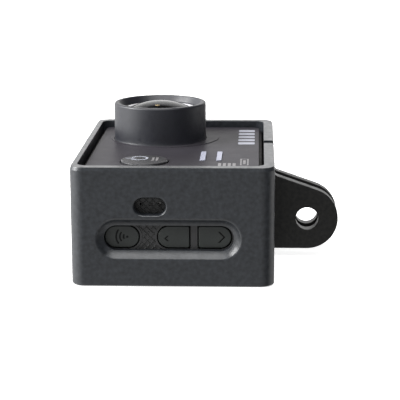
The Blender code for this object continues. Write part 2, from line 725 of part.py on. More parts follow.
def make_battery():
    low_x, high_x, low_y, high_y, low_z, high_z = BATTERY
    cell = outline(low_x, high_x, low_y, high_y, BATTERY_CORNER)
    add("battery", prism("Z", cell, low_z, high_z), "battery_wrap")
    out = FIT + TRAY_WALL
    inside = (low_x - FIT, high_x + BEYOND, low_y - FIT, high_y + FIT, low_z - FIT, high_z + BEYOND)
    outside = (low_x - out, high_x - TRAY_SETBACK, low_y - out, high_y + out, low_z - out, high_z - FIT)
    tray = add("battery_tray", block(*outside), "body_plastic")
    shape(tray, block(*inside))
    contact_y = BATTERY_CONTACTS[:2]
    contact_z = BATTERY_CONTACTS[2:]
    gap = TRAY_WALL / 2
    notch = (contact_y[0] - gap, contact_y[1] + gap, contact_z[0] - gap, high_z + BEYOND)
    shape(tray, block(low_x - out - BEYOND, low_x, *notch))
    contacts = block(low_x - CONTACT_DEPTH, low_x - FIT, *contact_y, *contact_z)
    add("battery_contacts", contacts, "brass_contact")


def make_door():
    """Battery door in the base, with its hinge pin and latch behind it."""
    low_y, high_y, low_z, high_z = DOOR
    inner = BODY[1] - DOOR_THICKNESS
    door = add("battery_door", prism("X", outline(*DOOR, DOOR_CORNER), inner, BODY[1]), "body_plastic")
    centre = (inner - KNUCKLE_OFFSET[0], low_y + KNUCKLE_OFFSET[1])
    knuckle = prism("Z", circle(centre, KNUCKLE_RADIUS, 20), low_z + BEYOND, high_z - BEYOND)
    shape(door, knuckle, "UNION")
    bore = circle(centre, HINGE_PIN_RADIUS + FIT, 16)
    shape(door, prism("Z", bore, low_z - BEYOND, high_z + BEYOND))
    pin = prism("Z", circle(centre, HINGE_PIN_RADIUS, 16), low_z + FIT, high_z - FIT)
    add("door_hinge_pin", pin, "steel")
    depth, width, height = LATCH
    latch_y = (high_y - width - LATCH_INSET, high_y - LATCH_INSET)
    middle_z = (low_z + high_z) / 2
    latch = block(inner - FIT - depth, inner - FIT, *latch_y, middle_z - height / 2, middle_z + height / 2)
    add("door_latch", latch, "steel")


def make_boards():
    add("main_board", block(*BOARD), "board_green")
    for name, (rectangle, height, material) in BOARD_PARTS.items():
        add(name, block(*rectangle, PARTS_LEVEL, PARTS_LEVEL + height), material)


def make_socket(name, mouth):
    """Metal connector shell with a tongue inside, open towards +Y."""
    front = BODY[3] - SOCKET_RECESS
    shell = add(name, prism("Y", outline(*mouth), SOCKET_BACK, front), "tin_plate")
    inside = outline(*grown(mouth, -SOCKET_WALL))
    shape(shell, prism("Y", inside, SOCKET_BACK + 2 * SOCKET_WALL, BODY[3] + BEYOND))
    middle = ((mouth[0] + mouth[1]) / 2, (mouth[2] + mouth[3]) / 2)
    tongue = outline(*around(middle, TONGUE[0] / 2, TONGUE[1] / 2))
    shape(shell, prism("Y", tongue, SOCKET_BACK + SOCKET_WALL, front - BEYOND), "UNION")


def make_ports():
    make_socket("usb_socket", USB)
    make_socket("hdmi_socket", HDMI)
    low_x, high_x, low_y, high_y, low_z, high_z = CARD
    card = outline(low_x, high_x, low_y, high_y, CARD_CORNER)
    add("memory_card", prism("Z", card, low_z, high_z), "chip_black")
    slot = grown((low_x, high_x, low_z, high_z), FIT)
    shell = grown((low_x, high_x, low_z, high_z), 2 * FIT)
    socket = add("card_socket", prism("Y", outline(*shell), low_y - BEYOND, INNER[3] - FIT), "tin_plate")
    shape(socket, prism("Y", outline(*slot), low_y - FIT, INNER[3] + BEYOND))


# --- screws --------------------------------------------------------------------------------------

def screw_places():
    """One spot in each corner post."""
    for x in (INNER[0] + SCREW_INSET, INNER[1] - SCREW_INSET):
        for y in (INNER[2] + SCREW_INSET, INNER[3] - SCREW_INSET):
            yield x, y


def make_screws():
    low = REAR_COVER_Z[0] + SCREW_RECESS
    profile = [
        (0, low),
        (SCREW_HEAD_RADIUS, low),
        (SCREW_HEAD_RADIUS, low + SCREW_HEAD_HEIGHT),
        (SCREW_RADIUS, low + SCREW_HEAD_HEIGHT),
        (SCREW_RADIUS, SCREW_TOP - SCREW_POINT),
        (0, SCREW_TOP),
    ]
    for number, spot in enumerate(screw_places(), 1):
        add(f"case_screw_{number}", turned("Z", spot, profile, 16), "steel")


make_mount()
make_body_band()
make_rear_cover()
make_front()
make_hood()
make_glass()
make_barrel()
make_sensor()
make_power_button()
make_shutter_button()
make_side_buttons()
make_upright_switches()
make_lights()
make_sound()
make_battery()
make_door()
make_boards()
make_ports()
make_screws()
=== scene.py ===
"""Looks for the action camera in its frame mount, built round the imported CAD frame.

The world is in metres, in the CAD's own frame: +X towards the mount's ears, -Y the side with the
three buttons, +Z out of the lens. The builders below work in millimetres from the middle of the
mount's band, and point() turns those into world metres.
"""

import math

import bmesh
import bpy
from mathutils import Matrix, Vector


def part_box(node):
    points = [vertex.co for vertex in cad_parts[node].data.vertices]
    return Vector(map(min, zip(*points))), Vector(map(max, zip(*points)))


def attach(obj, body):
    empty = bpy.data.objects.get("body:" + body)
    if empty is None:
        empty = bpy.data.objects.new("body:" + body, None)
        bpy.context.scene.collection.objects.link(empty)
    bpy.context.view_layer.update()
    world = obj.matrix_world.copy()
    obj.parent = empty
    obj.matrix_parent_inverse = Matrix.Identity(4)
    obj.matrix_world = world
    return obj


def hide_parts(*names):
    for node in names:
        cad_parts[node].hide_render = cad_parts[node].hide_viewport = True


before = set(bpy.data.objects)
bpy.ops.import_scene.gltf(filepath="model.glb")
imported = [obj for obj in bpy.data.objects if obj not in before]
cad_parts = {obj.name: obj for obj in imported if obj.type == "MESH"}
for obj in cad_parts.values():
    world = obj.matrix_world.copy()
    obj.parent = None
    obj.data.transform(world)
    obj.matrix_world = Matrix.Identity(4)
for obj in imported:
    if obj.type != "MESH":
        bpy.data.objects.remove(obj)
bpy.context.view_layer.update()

MM = 0.001
BAND_WIDTH = 45.4
BAND_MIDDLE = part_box("mount_frame")[0].x + BAND_WIDTH / 2 * MM


# --- places read from the CAD --------------------------------------------------------------------

def cad_box(node):
    """A CAD node's box as (low x, high x, low y, high y, low z, high z), in local millimetres."""
    low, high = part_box(node)
    spans = []
    for i in range(3):
        shift = BAND_MIDDLE if i == 0 else 0.0
        spans += [(low[i] - shift) / MM, (high[i] - shift) / MM]
    return spans


FRAME = cad_box("mount_frame")
BODY = cad_box("body_band")
PLATE = cad_box("front_plate")
BEZEL = cad_box("front_bezel")
COVER = cad_box("rear_cover")
HOOD = cad_box("lens_hood")
GLASS = cad_box("front_glass")
TRIM = cad_box("lens_trim_ring")
POWER = cad_box("power_button")
SHUTTER = cad_box("shutter_button")
LENS = ((HOOD[0] + HOOD[1]) / 2, (HOOD[2] + HOOD[3]) / 2)
POWER_SPOT = ((POWER[0] + POWER[1]) / 2, (POWER[2] + POWER[3]) / 2)
SHUTTER_SPOT = ((SHUTTER[2] + SHUTTER[3]) / 2, (SHUTTER[4] + SHUTTER[5]) / 2)


# --- outlines ------------------------------------------------------------------------------------

SAME_SPOT = 0.0001
QUARTER = math.pi / 2


def fan(steps):
    """Angles of a quarter turn in equal steps, for rounded edges."""
    return [QUARTER * i / steps for i in range(steps + 1)]


def arc(centre, radius, start, end, steps):
    angles = [math.radians(start + (end - start) * i / steps) for i in range(steps + 1)]
    return [(centre[0] + radius * math.cos(a), centre[1] + radius * math.sin(a)) for a in angles]


def circle(centre, radius, steps=64):
    return arc(centre, radius, 0, 360, steps)[:-1]


def outline(low_u, high_u, low_v, high_v, low_radius=0.0, high_radius=None, steps=10):
    """Rectangle with rounded corners, by one radius at low u and another at high u."""
    high_radius = low_radius if high_radius is None else high_radius
    corners = (
        (high_u, low_v, 1, -1, high_radius, -90),
        (high_u, high_v, 1, 1, high_radius, 0),
        (low_u, high_v, -1, 1, low_radius, 90),
        (low_u, low_v, -1, -1, low_radius, 180),
    )
    points = []
    for u, v, side_u, side_v, radius, start in corners:
        if radius:
            points += arc((u - side_u * radius, v - side_v * radius), radius, start, start + 90, steps)
        else:
            points.append((u, v))
    return [here for i, here in enumerate(points) if math.dist(here, points[i - 1]) > SAME_SPOT]


def stadium(low_u, high_u, low_v, high_v):
    return outline(low_u, high_u, low_v, high_v, (high_v - low_v) / 2)


def inset(points, distance):
    """The outline moved inwards by a distance, or outwards where it is negative."""
    count = len(points)
    area = sum(
        points[i - 1][0] * points[i][1] - points[i][0] * points[i - 1][1] for i in range(count)
    )
    turn = math.copysign(1.0, area)
    moved = []
    for i in range(count):
        before, here, after = (Vector(points[k % count]) for k in (i - 1, i, i + 1))
        first = (here - before).normalized()
        second = (after - here).normalized()
        normals = [Vector((-d.y, d.x)) * turn for d in (first, second)]
        miter = (normals[0] + normals[1]) / (1 + normals[0].dot(normals[1]))
        moved.append(tuple(here + miter * distance))
    return moved


# --- meshes --------------------------------------------------------------------------------------

def point(x, y, z):
    return Vector((x * MM + BAND_MIDDLE, y * MM, z * MM))


def place(axis, u, v, level):
    spots = {"X": (level, u, v), "Y": (u, level, v), "Z": (u, v, level)}
    return point(*spots[axis])


def outward(mesh):
    bmesh.ops.recalc_face_normals(mesh, faces=mesh.faces)
    return mesh


def loft(axis, levels):
    """Closed mesh through (level, outline) pairs with equally many points each."""
    mesh = bmesh.new()
    rings = [[mesh.verts.new(place(axis, u, v, level)) for u, v in points] for level, points in levels]
    for low, high in zip(rings, rings[1:]):
        for i in range(len(low)):
            j = (i + 1) % len(low)
            mesh.faces.new((low[i], low[j], high[j], high[i]))
    mesh.faces.new(rings[0])
    mesh.faces.new(rings[-1])
    return outward(mesh)


def prism(axis, points, low, high):
    return loft(axis, [(low, points), (high, points)])


def slab(axis, points, low, high, low_round=0.0, high_round=0.0, steps=4):
    """Prism whose edges are rounded at its low end, its high end or both."""
    levels = []
    for end, radius, sign in ((low, low_round, 1), (high, high_round, -1)):
        side = []
        for angle in fan(steps) if radius else (0.0,):
            height = radius * (1 - math.cos(angle))
            side.append((end + sign * height, inset(points, radius * (1 - math.sin(angle)))))
        levels += side if sign > 0 else side[::-1]
    return loft(axis, levels)


def turned(axis, centre, profile, segments=96):
    """Solid of revolution of a (radius, level) profile: a ring, unless the profile ends on the axis."""
    mesh = bmesh.new()
    rings = []
    for radius, level in profile:
        points = circle(centre, radius, segments) if radius else [centre]
        rings.append([mesh.verts.new(place(axis, u, v, level)) for u, v in points])
    pairs = list(zip(rings, rings[1:]))
    if profile[0][0]:
        pairs.append((rings[-1], rings[0]))
    for low, high in pairs:
        for i in range(segments):
            j = (i + 1) % segments
            corners = (low[i % len(low)], low[j % len(low)], high[j % len(high)], high[i % len(high)])
            mesh.faces.new(tuple(dict.fromkeys(corners)))
    return outward(mesh)


def to_object(name, mesh):
    data = bpy.data.meshes.new(name)
    mesh.to_mesh(data)
    mesh.free()
    made = bpy.data.objects.new(name, data)
    bpy.context.scene.collection.objects.link(made)
    return made


def carve(made, steps):
    """Runs (operation, tool mesh) pairs on an object as Booleans and keeps the result."""
    tools = []
    for operation, tool in steps:
        cutter = to_object("tool", tool)
        boolean = made.modifiers.new("carve", "BOOLEAN")
        boolean.operation = operation
        boolean.solver = "MANIFOLD"
        boolean.object = cutter
        tools.append(cutter)
    graph = bpy.context.evaluated_depsgraph_get()
    graph.update()
    result = bpy.data.meshes.new_from_object(made.evaluated_get(graph))
    made.modifiers.clear()
    made.data = result
    for cutter in tools:
        bpy.data.objects.remove(cutter)
    return made


def cuts(*tools):
    return [("DIFFERENCE", tool) for tool in tools]


def piece(name, mesh, material, body, replaces=(), steps=(), sharp=32):
    """One visible piece: its mesh, the cuts made in it, its material and the body that it rides on."""
    made = to_object(name, mesh)
    if steps:
        carve(made, steps)
    made.data.materials.clear()
    made.data.materials.append(material)
    made.data.shade_smooth()
    made.data.set_sharp_from_angle(angle=math.radians(sharp))
    even = made.modifiers.new("even_shading", "WEIGHTED_NORMAL")
    even.keep_sharp = True
    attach(made, body)
    if replaces:
        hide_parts(*replaces)
    return made


# --- materials -----------------------------------------------------------------------------------

def blank_material(name, colour, roughness, metallic=0.0, **settings):
    material = bpy.data.materials.new(name)
    material.use_nodes = True
    shader = material.node_tree.nodes["Principled BSDF"]
    shader.inputs["Base Color"].default_value = (*colour, 1.0)
    shader.inputs["Roughness"].default_value = roughness
    shader.inputs["Metallic"].default_value = metallic
    for socket, value in settings.items():
        shader.inputs[socket.replace("_", " ")].default_value = value
    return material, shader


def noise(material, size, detail=3.0, stretch=(1.0, 1.0, 1.0)):
    """Noise with blobs about this many millimetres across, in the piece's own space."""
    tree = material.node_tree
    where = tree.nodes.new("ShaderNodeTexCoord")
    mapping = tree.nodes.new("ShaderNodeMapping")
    mapping.inputs["Scale"].default_value = stretch
    texture = tree.nodes.new("ShaderNodeTexNoise")
    texture.inputs["Scale"].default_value = 1 / (size * MM)
    texture.inputs["Detail"].default_value = detail
    tree.links.new(where.outputs["Object"], mapping.inputs["Vector"])
    tree.links.new(mapping.outputs["Vector"], texture.inputs["Vector"])
    return texture.outputs["Fac"]


def spread(material, value, low, high, from_low=0.3, from_high=0.7):
    """Maps the useful part of a noise onto a range."""
    node = material.node_tree.nodes.new("ShaderNodeMapRange")
    node.inputs["From Min"].default_value = from_low
    node.inputs["From Max"].default_value = from_high
    node.inputs["To Min"].default_value = low
    node.inputs["To Max"].default_value = high
    material.node_tree.links.new(value, node.inputs["Value"])
    return node.outputs["Result"]


def vary_colour(material, shader, colour, other, size):
    """Drifts the base colour between two shades."""
    tree = material.node_tree
    mix = tree.nodes.new("ShaderNodeMix")
    mix.data_type = "RGBA"
    mix.inputs[6].default_value = (*colour, 1.0)
    mix.inputs[7].default_value = (*other, 1.0)
    tree.links.new(spread(material, noise(material, size), 0.0, 1.0), mix.inputs[0])
    tree.links.new(mix.outputs[2], shader.inputs["Base Color"])


def vary_roughness(material, shader, low, high, size):
    value = spread(material, noise(material, size), low, high)
    material.node_tree.links.new(value, shader.inputs["Roughness"])


def add_bump(material, shader, height, size, stretch=(1.0, 1.0, 1.0), detail=2.0):
    """Fine surface relief, height in millimetres."""
    tree = material.node_tree
    bump = tree.nodes.new("ShaderNodeBump")
    bump.inputs["Distance"].default_value = height * MM
    bump.inputs["Strength"].default_value = 1.0
    tree.links.new(noise(material, size, detail, stretch), bump.inputs["Height"])
    tree.links.new(bump.outputs["Normal"], shader.inputs["Normal"])


def surface(name, colour, roughness, metallic=0.0, drift=0.25, grain=0.0, grain_size=0.15,
            stretch=(1.0, 1.0, 1.0), patch=4.0, rough_drift=0.06, **settings):
    """General procedural finish: drifting colour, uneven gloss and fine relief."""
    material, shader = blank_material(name, colour, roughness, metallic, **settings)
    other = tuple(channel * (1 + drift) for channel in colour)
    vary_colour(material, shader, colour, other, patch)
    vary_roughness(material, shader, roughness - rough_drift, roughness + rough_drift, patch / 3)
    if grain:
        add_bump(material, shader, grain, grain_size, stretch)
    return material


def make_materials():
    made = {}
    made["mount"] = make_mount_material()
    made["body"] = surface("body_plastic", (0.028, 0.028, 0.029), 0.45, grain=0.004)
    made["knurl"] = surface("knurl_plastic", (0.036, 0.037, 0.037), 0.42, grain=0.003)
    made["bezel"] = surface("bezel_plastic", (0.008, 0.008, 0.008), 0.6, grain=0.004, Specular_IOR_Level=0.1)
    made["button"] = surface("button_plastic", (0.020, 0.0235, 0.022), 0.50, grain=0.004, grain_size=0.1)
    made["plate"] = surface("plate_lacquer", (0.031, 0.029, 0.034), 0.40, grain=0.0008, grain_size=0.1,
                            rough_drift=0.015, patch=9.0, Specular_IOR_Level=0.03)
    made["power"] = surface("power_button_lacquer", (0.03, 0.03, 0.033), 0.34, grain=0.001, grain_size=0.08,
                            Specular_IOR_Level=0.35)
    made["hood"] = surface("hood_anodised", (0.008, 0.009, 0.014), 0.46, grain=0.0015,
                           grain_size=0.12, stretch=(0.1, 0.1, 1.5), Specular_IOR_Level=0.7)
    made["trim"] = surface("trim_satin_metal", (0.72, 0.72, 0.75), 0.5, 0.5, drift=0.1, grain=0.001)
    made["mark"] = surface("white_print", (0.32, 0.33, 0.38), 0.5, drift=0.08, Specular_IOR_Level=0.2)
    made["faint_mark"] = surface("grey_print", (0.15, 0.145, 0.15), 0.5, drift=0.2)
    made["light"] = surface("milky_light_guide", (0.28, 0.29, 0.36), 0.45, drift=0.05, rough_drift=0.01,
                            patch=9.0)
    made["screen"] = surface("screen_glass", (0.004, 0.004, 0.005), 0.06, drift=0.2, rough_drift=0.02,
                             Coat_Weight=1.0, Coat_Roughness=0.02)
    made["steel"] = surface("screw_steel", (0.35, 0.35, 0.36), 0.32, 1.0, drift=0.15, grain=0.001)
    made["tin"] = surface("tin_plate", (0.55, 0.54, 0.52), 0.3, 1.0, drift=0.15, grain=0.001, grain_size=0.3)
    made["gold"] = surface("gold_contact", (0.75, 0.5, 0.18), 0.28, 1.0, drift=0.1)
    made["board"] = surface("solder_mask", (0.008, 0.07, 0.03), 0.35, drift=0.4, grain=0.004, grain_size=0.5)
    made["chip"] = surface("moulding_compound", (0.012, 0.012, 0.012), 0.5, grain=0.003)
    made["wrap"] = surface("battery_film", (0.015, 0.016, 0.02), 0.3, grain=0.004, grain_size=1.5)
    made["black"] = surface("matt_black", (0.006, 0.006, 0.006), 0.6, grain=0.002, Specular_IOR_Level=0.1)
    # The dome's near-black tint is painted shade, standing for the dark lens inside it.
    made["dome"] = make_glass_material("coated_dome_glass_painted_shade", (0.02, 0.02, 0.022), 1.18)
    made["glass"] = make_glass_material("clear_glass", (0.92, 0.93, 0.96), 1.5)
    made["coated"] = make_glass_material("amber_coated_glass", (0.9, 0.82, 0.6), 1.5)
    return made


def make_mount_material():
    """Black moulded plastic: satin on the band, and glossier where the ears start, where its darker colour
    is painted shade.
    """
    band = (0.0235, 0.027, 0.0325)
    material, shader = blank_material("mount_plastic", band, 0.34)
    tree = material.node_tree
    where = tree.nodes.new("ShaderNodeTexCoord")
    split = tree.nodes.new("ShaderNodeSeparateXYZ")
    tree.links.new(where.outputs["Object"], split.inputs["Vector"])
    face = (BAND_WIDTH / 2) * MM + BAND_MIDDLE
    ear = spread(material, split.outputs["X"], 0.0, 1.0, face - 0.1 * MM, face + 0.3 * MM)
    # The mix to the darker ear colour is painted shade; the ears' higher gloss is their real finish.
    shades = tree.nodes.new("ShaderNodeMix")
    shades.data_type = "RGBA"
    shades.inputs[6].default_value = (*band, 1.0)
    shades.inputs[7].default_value = (0.0165, 0.0161, 0.0150, 1.0)
    tree.links.new(ear, shades.inputs[0])
    drift = tree.nodes.new("ShaderNodeMix")
    drift.data_type = "RGBA"
    drift.blend_type = "MULTIPLY"
    drift.inputs[7].default_value = (0.36, 0.38, 0.40, 1.0)
    tree.links.new(spread(material, noise(material, 0.9, 6.0), 0.0, 1.0), drift.inputs[0])
    tree.links.new(shades.outputs[2], drift.inputs[6])
    tree.links.new(drift.outputs[2], shader.inputs["Base Color"])
    tree.links.new(spread(material, ear, 0.6, 0.25, 0.0, 1.0), shader.inputs["Specular IOR Level"])
    gloss = spread(material, ear, 0.34, 0.42, 0.0, 1.0)
    uneven = tree.nodes.new("ShaderNodeMath")
    uneven.operation = "ADD"
    tree.links.new(gloss, uneven.inputs[0])
    tree.links.new(spread(material, noise(material, 1.5), -0.05, 0.05), uneven.inputs[1])
    tree.links.new(uneven.outputs["Value"], shader.inputs["Roughness"])
    add_bump(material, shader, 0.014, 0.3)
    return material


def make_glass_material(name, colour, index):
    """Optical glass with a faint haze of dust and an uneven coating."""
    material, shader = blank_material(name, colour, 0.02, Transmission_Weight=1.0, IOR=index)
    vary_colour(material, shader, colour, tuple(channel * 0.97 for channel in colour), 3.0)
    vary_roughness(material, shader, 0.0, 0.03, 2.0)
    return material


# --- mount ---------------------------------------------------------------------------------------

BAND_CORNER = 3.2
BAY_CORNER = 2.4
LIP_TOP = 1.8
LIP_WIDTH = 2.4
LIP_CHAMFER = 0.4
SCREEN_CORNER = 1.2
BAY_CHAMFER = 0.1
EAR_HOLE = (30.7, 9.25)
EAR_HOLE_RADIUS = 2.7
EAR_TIP_RADIUS = 7.35
EAR_INNER = 1.6
EAR_OUTER = 4.6
EAR_SLOPE = math.radians(19.3)
EAR_ROOT_RADIUS = 1.5
EAR_OVERLAP = 1.2
EAR_EDGE = 0.2
BODY_GAP = 0.3
BAY = (BODY[0] - BODY_GAP, BODY[1] + BODY_GAP, BODY[2] - BODY_GAP, BODY[3] + BODY_GAP)
FOOT_ROUND = 0.45
RIM_STEP = 0.85
RIM_ROUND = 0.12
BUTTON_WINDOW = (-15.2, 13.7, 8.0, 13.7)
SOUND_WINDOW = (-8.3, -1.35, 16.3, 20.15)
PORT_WINDOW = (-16.2, 15.2, 10.2, 17.4)
TOP_WINDOW = (-19.5, 11.5, 8.5, 18.5)


def ear_outline():
    """Side view of an ear: round tip, level lower edge, sloped upper edge, root fillet."""
    face = BAND_WIDTH / 2
    tip = arc(EAR_HOLE, EAR_TIP_RADIUS, -90, 90 - math.degrees(EAR_SLOPE), 28)
    face_z = tip[-1][1] + (tip[-1][0] - face) * math.tan(EAR_SLOPE)
    reach = EAR_ROOT_RADIUS * math.tan((math.pi / 2 - EAR_SLOPE) / 2)
    centre = (face + EAR_ROOT_RADIUS, face_z + reach)
    fillet = arc(centre, EAR_ROOT_RADIUS, 270 - math.degrees(EAR_SLOPE), 180, 8)
    root = face - EAR_OVERLAP
    return tip + fillet + [(root, centre[1]), (root, EAR_HOLE[1] - EAR_TIP_RADIUS)]


def band_levels():
    """Wall of the band from floor to rim: rounded foot, fine step under the rim, rounded rim."""
    foot = [(FOOT_ROUND * (1 - math.cos(a)), FOOT_ROUND * (1 - math.sin(a))) for a in fan(4)]
    top = FRAME[5]
    draft = [(top - RIM_STEP, 0.0), (top - RIM_STEP + 0.05, 0.02), (top - 0.15, 0.2)]
    rim = [(top - RIM_ROUND * (1 - math.cos(a)), 0.22 + 0.1 * (1 - math.sin(a))) for a in fan(3)]
    return foot + draft + rim[::-1]


def window(axis, shape, rectangle, face, inner, profile):
    """Cutter for a window in a wall. profile lists (depth from the face, widening) pairs."""
    out = math.copysign(1.0, face)
    levels = [(inner - out, shape(*rectangle))]
    for depth, widening in reversed(profile):
        levels.append((face - out * depth, inset(shape(*rectangle), -widening)))
    levels.append((face + out, inset(shape(*rectangle), -profile[0][1])))
    return loft(axis, levels)


DISH_WIDTH = 1.45
DISH_EDGE_RADIUS = 0.8
DISH_TILTS = (math.radians(25), math.radians(48))
SMALL_CHAMFER = ((0.0, 0.42), (0.06, 0.27), (0.18, 0.12), (0.42, 0.0))
PORT_CORNER = 2.5
BORE_EDGE = 0.12


def dish_profile(steps=6):
    """Hollow slope that steepens outwards, then rounds over into the face, as (depth, widening)."""
    shallow, steep = DISH_TILTS
    hollow = DISH_WIDTH / (math.sin(steep) - math.sin(shallow))
    edge_depth = DISH_EDGE_RADIUS * (1 - math.cos(steep))
    profile = []
    for i in range(steps + 1):
        tilt = steep * i / steps
        widening = DISH_WIDTH + DISH_EDGE_RADIUS * (math.sin(steep) - math.sin(tilt))
        profile.append((DISH_EDGE_RADIUS * (1 - math.cos(tilt)), widening))
    for i in range(1, steps + 1):
        tilt = steep + (shallow - steep) * i / steps
        widening = hollow * (math.sin(tilt) - math.sin(shallow))
        profile.append((edge_depth + hollow * (math.cos(tilt) - math.cos(steep)), widening))
    return profile


def port_shape(*rectangle):
    return outline(*rectangle, PORT_CORNER)


def ear_bore():
    """Bore through both ears, with a small chamfer at each of its four mouths."""
    wide = EAR_HOLE_RADIUS + BORE_EDGE
    profile = []
    for low, high in ((-EAR_OUTER, -EAR_INNER), (EAR_INNER, EAR_OUTER)):
        profile += [(low, wide), (low + BORE_EDGE, EAR_HOLE_RADIUS)]
        profile += [(high - BORE_EDGE, EAR_HOLE_RADIUS), (high, wide)]
    levels = [(-EAR_OUTER - 1, wide + 1)] + profile + [(EAR_OUTER + 1, wide + 1)]
    return loft("Y", [(y, circle(EAR_HOLE, radius)) for y, radius in levels])


def make_mount(looks):
    band = outline(FRAME[0], BAND_WIDTH / 2, FRAME[2], FRAME[3], BAND_CORNER)
    wall = loft("Z", [(z, inset(band, amount)) for z, amount in band_levels()])
    bay = outline(*BAY, BAY_CORNER)
    top = FRAME[5]
    mouth = inset(bay, -BAY_CHAMFER)
    bay_levels = [(LIP_TOP, bay), (top - BAY_CHAMFER, bay), (top, mouth), (top + 1, mouth)]
    screen = outline(
        BAY[0] + LIP_WIDTH, BAY[1] - LIP_WIDTH, BAY[2] + LIP_WIDTH, BAY[3] - LIP_WIDTH, SCREEN_CORNER
    )
    lip_mouth = inset(screen, -LIP_CHAMFER)
    screen_levels = [(-1, lip_mouth), (0, lip_mouth), (LIP_CHAMFER, screen), (LIP_TOP + 1, screen)]
    half_length = FRAME[3]
    slit = outline(BAY[1] - LIP_WIDTH - 1, BAND_WIDTH / 2 + 1, -EAR_INNER, EAR_INNER)
    ears = [
        ("UNION", slab("Y", ear_outline(), low, high, EAR_EDGE, EAR_EDGE))
        for low, high in ((EAR_INNER, EAR_OUTER), (-EAR_OUTER, -EAR_INNER))
    ]
    holes = cuts(
        loft("Z", bay_levels),
        loft("Z", screen_levels),
        window("Y", stadium, BUTTON_WINDOW, -half_length, BAY[2], dish_profile()),
        window("Y", stadium, SOUND_WINDOW, -half_length, BAY[2], SMALL_CHAMFER),
        window("Y", port_shape, PORT_WINDOW, half_length, BAY[3], dish_profile()),
        window("X", stadium, TOP_WINDOW, FRAME[0], BAY[0], SMALL_CHAMFER),
        prism("Z", slit, -1, top + 1),
        ear_bore(),
    )
    piece("mount_shell", wall, looks["mount"], "mount", ["mount_frame"], ears + holes)


# --- camera shells -------------------------------------------------------------------------------

# Which ends of each side key are round, at low X and at high X.
SIDE_BUTTONS = {
    "wifi_button": (True, True),
    "up_button": (True, False),
    "down_button": (False, True),
}
FLANGE = 0.7
KEY_CORNER = 0.45
POWER_RADIUS = 5.39
SHUTTER_RADIUS = 4.6
SURROUND = 0.75
SURROUND_GAP = 0.28


def key_rectangle(node):
    """Face of a side button, read from its CAD node, which is wider by its flange."""
    low_x, high_x, _, _, low_z, high_z = cad_box(node)
    return (low_x + FLANGE, high_x - FLANGE, low_z + FLANGE, high_z - FLANGE)


def key_outline(node, extra=0.0):
    low_round, high_round = SIDE_BUTTONS[node]
    low_u, high_u, low_v, high_v = key_rectangle(node)
    round_end = (high_v - low_v) / 2
    radii = [round_end if is_round else KEY_CORNER for is_round in (low_round, high_round)]
    return inset(outline(low_u, high_u, low_v, high_v, *radii), -extra)


def clear_of(rectangles, u, v):
    """True where a spot lies outside every rounded keep-out rectangle."""
    for low_u, high_u, low_v, high_v, radius in rectangles:
        near_u = min(max(u, low_u + radius), high_u - radius)
        near_v = min(max(v, low_v + radius), high_v - radius)
        if math.hypot(u - near_u, v - near_v) < radius:
            return False
    return True


RIDGE_PITCH = 1.08
RIDGE_WIDTH = 0.34
RIDGE_HEIGHT = 0.2
RIDGE_STEP = 0.06
RIDGE_SINK = 0.05
RIDGE_CREST = 0.35


def ridge_runs(region, keep_outs, direction, offset):
    """Stretches of one diagonal line that lie in the region and clear of the keep-outs."""
    low_u, high_u, low_v, high_v = region
    across = Vector((-direction.y, direction.x))
    start = Vector(((low_u + high_u) / 2, (low_v + high_v) / 2)) + across * offset
    reach = math.hypot(high_u - low_u, high_v - low_v) / 2
    run = None
    for i in range(int(2 * reach / RIDGE_STEP) + 1):
        spot = start + direction * (i * RIDGE_STEP - reach)
        inside = low_u <= spot.x <= high_u and low_v <= spot.y <= high_v
        if inside and clear_of(keep_outs, spot.x, spot.y):
            run = (run[0], spot) if run else (spot, spot)
        elif run:
            yield run
            run = None
    if run:
        yield run


def add_ridge(mesh, axis, wall, out, start, end):
    """Low roof-shaped bar along a line on a wall, standing out of it."""
    if (end - start).length < 2 * RIDGE_STEP:
        return
    along = (end - start).normalized()
    side = Vector((-along.y, along.x)) * RIDGE_WIDTH / 2
    foot = wall - out * RIDGE_SINK
    crest = wall + out * RIDGE_HEIGHT
    top = side * RIDGE_CREST
    section = ((side, foot), (top, crest), (-top, crest), (-side, foot))
    ends = []
    for spot in (start, end):
        ends.append([mesh.verts.new(place(axis, *(spot + shift), level)) for shift, level in section])
    first, last = ends
    for i in range(len(section)):
        j = (i + 1) % len(section)
        mesh.faces.new((first[i], first[j], last[j], last[i]))
    mesh.faces.new(first)
    mesh.faces.new(last)


def knurl(name, axis, wall, out, region, keep_outs, looks):
    """Diamond pattern of crossing ridges on one side of the camera."""
    mesh = bmesh.new()
    reach = math.hypot(region[1] - region[0], region[3] - region[2]) / 2
    lines = int(reach / RIDGE_PITCH)
    for slope in (1, -1):
        direction = Vector((1, slope)).normalized()
        for i in range(-lines, lines + 1):
            for start, end in ridge_runs(region, keep_outs, direction, i * RIDGE_PITCH):
                add_ridge(mesh, axis, wall, out, start, end)
    piece(name, outward(mesh), looks["knurl"], "camera", sharp=20)


def grown(rectangle, amount, radius):
    """A rectangle widened all round, with the corner radius that clear_of() reads."""
    low_u, high_u, low_v, high_v = rectangle
    return (low_u - amount, high_u + amount, low_v - amount, high_v + amount, radius)


GRIP_END = 2.6
GRIP_EDGE = 0.4
KEY_KEEP_OUT = (SURROUND + 0.1, 3.2)
PORT_KEEP_OUT = (1.0, 0.8)
LIGHT_KEEP_OUT = (0.6, 1.2)
SOUND_KEEP_OUT = (0.4, 0.6)
SHUTTER_KEEP_OUT = SHUTTER_RADIUS + 0.9
SOUND_SLOTS = (1.0, 9.0, 8.0, 14.0)
PORTS = ("usb_socket", "hdmi_socket", "memory_card")


def port_rectangle(node):
    low_x, high_x, _, _, low_z, high_z = cad_box(node)
    return (low_x, high_x, low_z, high_z)


def pair_rectangle():
    """Face of the up and down keys together."""
    low_u, _, low_v, high_v = key_rectangle("up_button")
    return (low_u, key_rectangle("down_button")[1], low_v, high_v)


